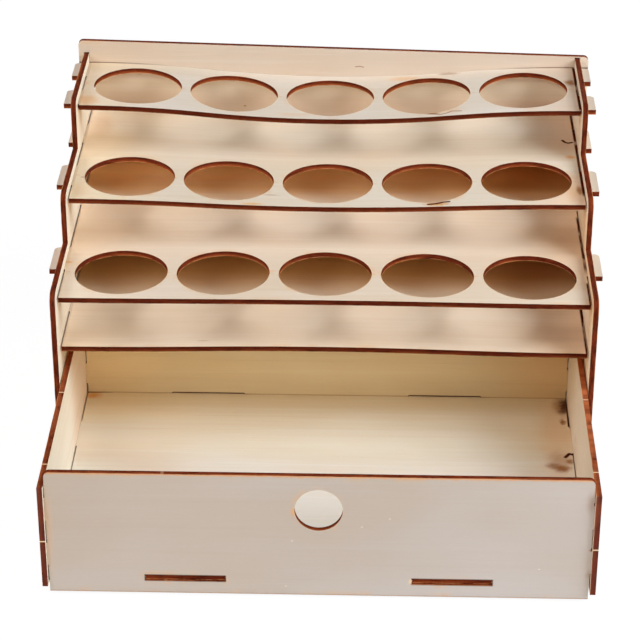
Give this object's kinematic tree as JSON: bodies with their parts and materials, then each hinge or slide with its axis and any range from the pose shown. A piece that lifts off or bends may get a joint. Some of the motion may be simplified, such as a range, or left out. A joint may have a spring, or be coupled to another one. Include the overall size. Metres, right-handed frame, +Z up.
{
  "type": "bottle rack with drawer",
  "caption": "Stepped flat-pack plywood rack: shelves with rows of round bottle holes between stepped side panels, over a bay with a wooden drawer that slides out.",
  "frame": {"origin": "bottom centre of the rack's bounding box, with the drawer part open as in the rest pose", "axes": "+Z up, the drawer opens towards -Y, +X to the right as seen from the front"},
  "size_m": [0.3104, 0.313, 0.1919],
  "materials": {
    "plywood": "bare, laser-cut, with dark burnt edges"
  },
  "bodies": {
    "rack": {"left_side_panel": "plywood", "right_side_panel": "plywood", "back_panel": "plywood", "top_shelf": "plywood", "middle_shelf": "plywood", "lower_shelf": "plywood", "bay_roof": "plywood", "bay_floor": "plywood"},
    "drawer": {"drawer_front": "plywood", "drawer_back": "plywood", "drawer_left_side": "plywood", "drawer_right_side": "plywood", "drawer_floor": "plywood"}
  },
  "joints": [
    {"name": "drawer_slide", "type": "slide", "parent": "rack", "child": "drawer", "axis": [0, -1, 0], "range_m": [-0.1073, 0.04]}
  ]
}
